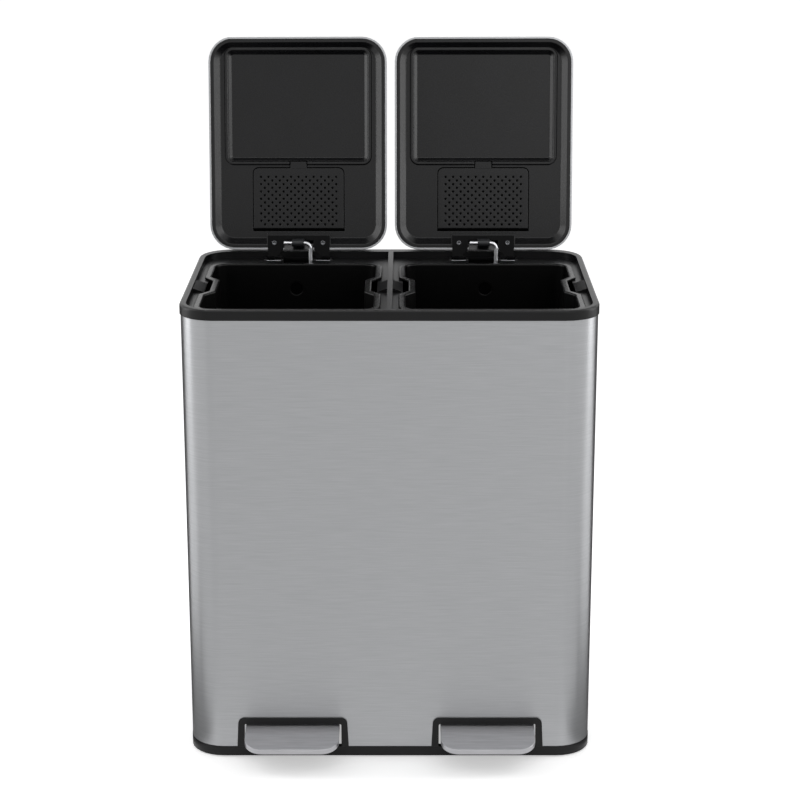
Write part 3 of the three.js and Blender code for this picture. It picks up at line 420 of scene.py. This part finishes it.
def brushed_stainless(name, colours, roughness, wrapped=False):
    """Stainless sheet, brushed along its width: level streaks and a highlight drawn out across them.

    On the wrapped body the brushing runs round the upright axis, and elsewhere along X. Real hairlines are
    about 0.1 mm wide. They are drawn 0.7 mm wide and 42 mm long, so that they show.
    """
    material, tree, shader = new_material(name, colours[1], 1.0, roughness, Anisotropic=0.85,
                                          Anisotropic_Rotation=0.25)
    streaks = grain(tree, 0.7, (60, 60, 1), 3.0, 0.6)
    vary_surface(tree, shader, streaks, 0.15, colours, streaks, (roughness + 0.03, roughness - 0.02))
    if wrapped:
        run = add_node(tree, "ShaderNodeTangent", direction_type="RADIAL", axis="Z")
    else:
        run = add_node(tree, "ShaderNodeCombineXYZ", X=1.0, Y=0.02, Z=0.05)
    tree.links.new(run.outputs[0], shader.inputs["Tangent"])
    return material


def moulded_plastic(name, colours, roughness, sheen=0.35, pit=0.7, depth=0.01):
    """A moulding, coat or foam: faint clouds 40 mm wide, and pits that break up its sheen and keep it low.

    A mould's eroded pits are about 0.1 mm wide. They are drawn 0.4 to 0.7 mm wide, so that they show.
    """
    material, tree, shader = new_material(name, colours[1], 0.0, roughness, IOR=1.49,
                                          Specular_IOR_Level=sheen)
    clouds = grain(tree, 40, detail=3.0)
    pits = grain(tree, pit, detail=1.0)
    vary_surface(tree, shader, clouds, 0.15, colours, pits, (roughness - 0.04, roughness + 0.06))
    bump = add_node(tree, "ShaderNodeBump", [(pits, "Height")], Strength=1.0, Distance=depth * MM)
    tree.links.new(bump.outputs["Normal"], shader.inputs["Normal"])
    return material


def plain_steel(name, colours, roughness):
    """Steel that isn't brushed: smooth, with faint cloudy patches 4 mm wide."""
    material, tree, shader = new_material(name, colours[1], 1.0, roughness)
    clouds = grain(tree, 4, detail=2.0)
    vary_surface(tree, shader, clouds, 0.2, colours, clouds, (roughness - 0.05, roughness + 0.08))
    return material


# Stainless sheet brushed round the body: level hairlines, and highlights drawn out upwards at the corners.
cabinet_steel = brushed_stainless("brushed stainless sheet", ("#a5a6a8", "#adaeb0"), 0.34, wrapped=True)
# The same sheet pressed into lids and brushed across, painted a shade paler than the body: a painted
# highlight for where its hem turns to the light.
lit_lid_steel = brushed_stainless("brushed stainless lid sheet, painted paler", ("#b2b3b5", "#c2c3c5"), 0.3)
# Thicker stainless on the pedals, brushed across and rubbed by shoes: a wide, soft shine.
pedal_steel = brushed_stainless("brushed stainless pedal sheet", ("#b0b0b3", "#bdbdc0"), 0.38)
# The mill-finished inner side of the sheet, painted a dull near black: the painted shade of the dark inside
# the body.
shaded_sheet_back = plain_steel("painted shade on the back of the sheet", ("#151516", "#1b1b1c"), 0.7)
# Zinc on drawn rod, pins and levers: nearly white, with a faintly cloudy gleam.
zinc_plate = plain_steel("bright zinc plating", ("#d6d7da", "#e6e7ea"), 0.36)
# Blackened steel screws: a grey glint on their heads and none in their crosses.
black_oxide = plain_steel("black oxide on steel", ("#66676a", "#77787b"), 0.25)
# Electrocoated steel plate: near black, with a thin gleam only along its edges.
bracket_coat = moulded_plastic("black electrocoat", ("#040405", "#060607"), 0.34, 0.14, 0.4, 0.008)
# Polypropylene from a finely eroded mould: near black, with a low broad sheen.
black_moulding = moulded_plastic("satin black polypropylene", ("#050506", "#08080a"), 0.33, 0.28)
# The liners' polypropylene, from a smoother mould: its slopes show the lamps as clear bands.
lid_moulding = moulded_plastic("satin black lid polypropylene", ("#070709", "#0a0a0d"), 0.28, 0.4)
# The buckets' polypropylene below the rim, painted darker and matt: painted shade inside the bucket.
bucket_shade_moulding = moulded_plastic("black bucket polypropylene in painted shade", ("#030303", "#050505"), 0.36, 0.14)
# The same polypropylene on the rim, a shade paler and glossier than the painted shade below it: a clear, thin
# gleam.
rim_moulding = moulded_plastic("glossy black polypropylene rim", ("#060606", "#090909"), 0.28, 0.5)
# The pedal arches' and cores' polypropylene: duller than the collar's.
surround_moulding = moulded_plastic("black surround polypropylene", ("#060607", "#0a0a0b"), 0.42, 0.3)
# Polypropylene behind the filter covers, painted a flat near black: painted shade in the recess round them.
recess_shade_moulding = moulded_plastic("painted shade in the cover recess", ("#010101", "#020202"), 0.7, 0.05)
# Glass-filled nylon of the rods' clips and stops: a dark grey, duller than the steel in it.
grey_moulding = moulded_plastic("grey clip nylon", ("#232426", "#2d2e31"), 0.45, 0.4)
# Moulded rubber feet: charcoal and matt.
foot_rubber = moulded_plastic("black foot rubber", ("#131313", "#191919"), 0.8, 0.4, 0.5, 0.03)
# Open-celled foam loaded with carbon: black and rough, with cells of about a millimetre.
carbon_foam = moulded_plastic("carbon filter foam", ("#040404", "#0a0a0a"), 0.95, 0.2, 1.1, 0.6)


# ---------------------------------------------------------------- pieces

def dress_cabinet():
    wrap = dressed("outer_shell", "steel_wrap", cabinet_steel, fillet=0)
    # The inward-facing faces of the wrap get the painted shade of the body's dark inside.
    add_finish(wrap, shaded_sheet_back, lambda middles, normals: (middles[:, :2] * normals[:, :2]).sum(axis=1) < 0)
    dressed("top_collar", "collar_frame", black_moulding, clamp=True, crown=COLLAR_CROWN)
    dressed("base_moulding", "base_tray", black_moulding, clamp=True)
    for node in frame["nodes"]:
        if node.startswith("foot_"):
            dressed(node, f"rubber_{node}", foot_rubber, FOOT_FILLET)
        if "_pin_" in node:
            dressed(node, f"steel_{node}", zinc_plate, PIN_FILLET)
    for side in SIDES:
        dressed(f"pedal_surround_{side}", f"arch_trim_{side}", surround_moulding, ARCH_FILLET, clamp=True)


def dress_buckets():
    for side in SIDES:
        bucket = dressed(f"bucket_{side}", f"inner_bucket_{side}", rim_moulding, BUCKET_FILLET, segments=3)
        lip = max(corner[2] for corner in bucket.bound_box) - BUCKET_LIP * MM
        # Below the lip the bucket is given the painted shade.
        add_finish(bucket, bucket_shade_moulding, lambda middles, normals: middles[:, 2] < lip)


def dress_lids():
    for side in SIDES:
        dressed(f"lid_skin_{side}", f"steel_lid_{side}", lit_lid_steel, LID_FILLET)
        liner = dressed(f"lid_liner_{side}", f"moulded_liner_{side}", lid_moulding, sharp=LINER_SHARP)
        # The recess behind the cover is given the painted shade.
        add_finish(liner, recess_shade_moulding, lambda middles, normals: in_recess(middles, side))
        dressed(f"carbon_filter_{side}", f"carbon_pad_{side}", carbon_foam, PAD_FILLET)
        dressed(f"hinge_bracket_{side}", f"bracket_plate_{side}", bracket_coat, BRACKET_FILLET, clamp=True)
        dressed(f"rod_clip_{side}", f"nylon_clip_{side}", grey_moulding, CLIP_FILLET)
        cover = perforated_cover(side)
        soften(cover, COVER_FILLET)
        finish_piece(cover, lid_moulding, f"filter_cover_{side}")
        for place in ("outer", "inner"):
            dressed(f"bracket_screw_{side}_{place}", f"pan_screw_{side}_{place}", black_oxide, SCREW_FILLET)


def dress_linkage():
    for side in SIDES:
        rod = bent_rod(side)
        soften(rod, ROD_FILLET, sharp=ROD_SHARP)
        finish_piece(rod, zinc_plate, f"link_rod_{side}")
        dressed(f"rod_stop_{side}", f"nylon_stop_{side}", grey_moulding, STOP_FILLET)
        dressed(f"pedal_cap_{side}", f"steel_pedal_{side}", pedal_steel, PEDAL_FILLET, segments=4,
                sharp=PEDAL_SHARP, clamp=True)
        dressed(f"pedal_core_{side}", f"moulded_core_{side}", surround_moulding)
        dressed(f"pedal_lever_{side}", f"steel_lever_{side}", zinc_plate, fillet=0)


# ---------------------------------------------------------------- camera, in millimetres

CAMERA_PLACE = (18.0, -2459.1, 1140.8)
CAMERA_PITCH = 15.5  # degrees below level
CAMERA_FOCAL = 2057.1 / 800  # focal length over the picture's width
CAMERA_SHIFT = (-0.006, -0.05)
SENSOR_WIDTH = 36


def place_camera():
    lens = bpy.data.cameras.new("Camera")
    lens.sensor_width = SENSOR_WIDTH
    lens.lens = CAMERA_FOCAL * SENSOR_WIDTH
    lens.shift_x, lens.shift_y = CAMERA_SHIFT
    camera = bpy.data.objects.new("Camera", lens)
    camera.location = Vector(CAMERA_PLACE) * MM
    camera.rotation_euler = (math.radians(90 - CAMERA_PITCH), 0, 0)
    bpy.context.collection.objects.link(camera)
    bpy.context.scene.camera = camera


# ---------------------------------------------------------------- floor and light, in metres

WHITE = (1, 1, 1, 1)
DOME_LEVEL = 0.6
FLOOR_LIFT = 0.45
FLOOR_REACH = 12.0
FRONT_LEVEL = 0.74
WINDOW_LEVEL = 1.6
ROOF_LEVEL = 3.0
ROOF_FLAG_LEVEL = 0.02
TABLE_LEVEL = 0.92
SIDE_LEVEL = 0.2
EDGE_FLAG_LEVEL = 0.1

STUDIO_FRONT = -3.4
STUDIO_REACH = 2.2  # to the left and to the right
STUDIO_HEIGHT = 3.0
WINDOW_GAP = 0.02  # from the front card to the window card
WINDOW_SPAN = (0.33, 2.0)
WINDOW_HEIGHTS = (1.0, 2.2)
ROOF_SPAN = (-1.0, 1.0)
ROOF_DEPTHS = (-2.2, -0.9)
ROOF_FLAG_DEPTHS = (-0.8, 0.8)
TABLE_HEIGHT = 0.001
TABLE_EDGE = -0.22  # where the table card ends, just in front of the bin
SIDE_TABLE_SPAN = (0.25, 0.6)
SIDE_TABLE_BACK = 0.35
EDGE_FLAG_SPAN = (0.258, 0.35)
EDGE_FLAG_DEPTH = -0.05
EDGE_FLAG_HEIGHT = 0.565


def area_lamp(name, place, aim, size, power):
    """A soft oblong lamp that looks at a point, with its size in metres and its power in watts."""
    lamp = bpy.data.lights.new(name, "AREA")
    lamp.shape = "RECTANGLE"
    lamp.size, lamp.size_y = size
    lamp.energy = power
    holder = bpy.data.objects.new(name, lamp)
    holder.location = place
    holder.rotation_euler = (Vector(aim) - Vector(place)).to_track_quat("-Z", "Y").to_euler()
    bpy.context.collection.objects.link(holder)


def backdrop_rays(tree):
    """1 for what the camera sees directly, mirrored or through a clear thing, else 0."""
    path = add_node(tree, "ShaderNodeLightPath")
    mirrored = [(path.outputs["Is Camera Ray"], 0), (path.outputs["Is Glossy Ray"], 1)]
    seen = add_node(tree, "ShaderNodeMath", mirrored, operation="MAXIMUM")
    clear = [(seen.outputs[0], 0), (path.outputs["Is Transmission Ray"], 1)]
    return add_node(tree, "ShaderNodeMath", clear, operation="MAXIMUM").outputs[0]


def light_world():
    """A white backdrop, also in mirrored rays; what it lends to matt surfaces is an even level."""
    world = bpy.data.worlds.new("Studio")
    world.use_nodes = True
    tree = world.node_tree
    level = add_node(tree, "ShaderNodeMix", [(backdrop_rays(tree), "Factor")], A=DOME_LEVEL, B=1.0)
    tree.links.new(level.outputs["Result"], tree.nodes["Background"].inputs["Strength"])
    tree.nodes["Background"].inputs["Color"].default_value = WHITE
    bpy.context.scene.world = world


def studio_card(name, corners, level):
    """A card of that level of light, seen only in the bin's sheen, with its four corners in metres."""
    mesh = bpy.data.meshes.new(name)
    mesh.from_pydata(corners, [], [(0, 1, 2, 3)])
    card = bpy.data.objects.new(name, mesh)
    bpy.context.collection.objects.link(card)
    material, _, shader = new_material(f"studio card {name}", "#000000", 0.0, 1.0, Specular_IOR_Level=0.0)
    shader.inputs["Emission Color"].default_value = WHITE
    shader.inputs["Emission Strength"].default_value = level
    mesh.materials.append(material)
    card.visible_camera = False
    card.visible_diffuse = False
    card.visible_shadow = False


def level_card(name, span, depths, height, level):
    """A level studio card between two places along X and two along Y, at a height."""
    (x0, x1), (y0, y1) = span, depths
    studio_card(name, [(x0, y0, height), (x1, y0, height), (x1, y1, height), (x0, y1, height)], level)


def upright_card(name, span, depth, heights, level):
    """A studio card that faces the bin from in front, between two places along X and two heights."""
    (x0, x1), (z0, z1) = span, heights
    studio_card(name, [(x0, depth, z0), (x1, depth, z0), (x1, depth, z1), (x0, depth, z1)], level)


def light_front():
    """What the sheen shows: a grey wall with a window in it, a table, and a roof that is dark at its rear."""
    width = (-STUDIO_REACH, STUDIO_REACH)
    upright_card("front_card", width, STUDIO_FRONT, (0.0, STUDIO_HEIGHT), FRONT_LEVEL)
    upright_card("window_card", WINDOW_SPAN, STUDIO_FRONT + WINDOW_GAP, WINDOW_HEIGHTS, WINDOW_LEVEL)
    level_card("roof_card", ROOF_SPAN, ROOF_DEPTHS, STUDIO_HEIGHT, ROOF_LEVEL)
    level_card("rear_roof_flag", ROOF_SPAN, ROOF_FLAG_DEPTHS, STUDIO_HEIGHT, ROOF_FLAG_LEVEL)
    level_card("table_card", width, (STUDIO_FRONT, TABLE_EDGE), TABLE_HEIGHT, TABLE_LEVEL)


def light_sides():
    """A strip lamp at each side, and the dark cards that the body's front corners show."""
    for name, side in (("left", -1), ("right", 1)):
        area_lamp(f"{name}_strip", place=(side * 0.85, 0.0, 0.85), aim=(side * 0.2, 0.05, 0.65),
                  size=(0.3, 0.9), power=2.4)
        flag_span = sorted(side * x for x in EDGE_FLAG_SPAN)
        upright_card(f"{name}_edge_flag", flag_span, EDGE_FLAG_DEPTH, (0.0, EDGE_FLAG_HEIGHT),
                     EDGE_FLAG_LEVEL)
        table_span = sorted(side * x for x in SIDE_TABLE_SPAN)
        level_card(f"{name}_table_card", table_span, (TABLE_EDGE, SIDE_TABLE_BACK), TABLE_HEIGHT, SIDE_LEVEL)


def lay_floor():
    """A level square floor with four corners."""
    corners = np.array([[-1, -1, 0], [1, -1, 0], [1, 1, 0], [-1, 1, 0]]) * FLOOR_REACH
    mesh = bpy.data.meshes.new("studio_floor")
    mesh.from_pydata(corners.tolist(), [], [(0, 1, 2, 3)])
    floor = bpy.data.objects.new("studio_floor", mesh)
    bpy.context.collection.objects.link(floor)
    material, tree, shader = new_material("matt white floor paint", "#f6f6f6", 0.0, 0.9)
    shader.inputs["Emission Color"].default_value = WHITE
    lift = add_node(tree, "ShaderNodeMath", [(backdrop_rays(tree), 0)], operation="MULTIPLY")
    lift.inputs[1].default_value = FLOOR_LIFT
    tree.links.new(lift.outputs[0], shader.inputs["Emission Strength"])
    mesh.materials.append(material)


dress_cabinet()
dress_buckets()
dress_lids()
dress_linkage()
place_camera()
light_world()
light_front()
area_lamp("overhead", place=(0, 1.3, 2.3), aim=(0, 0, 0.4), size=(1.8, 0.8), power=14)
light_sides()
lay_floor()

bpy.context.scene.view_settings.view_transform = "Standard"
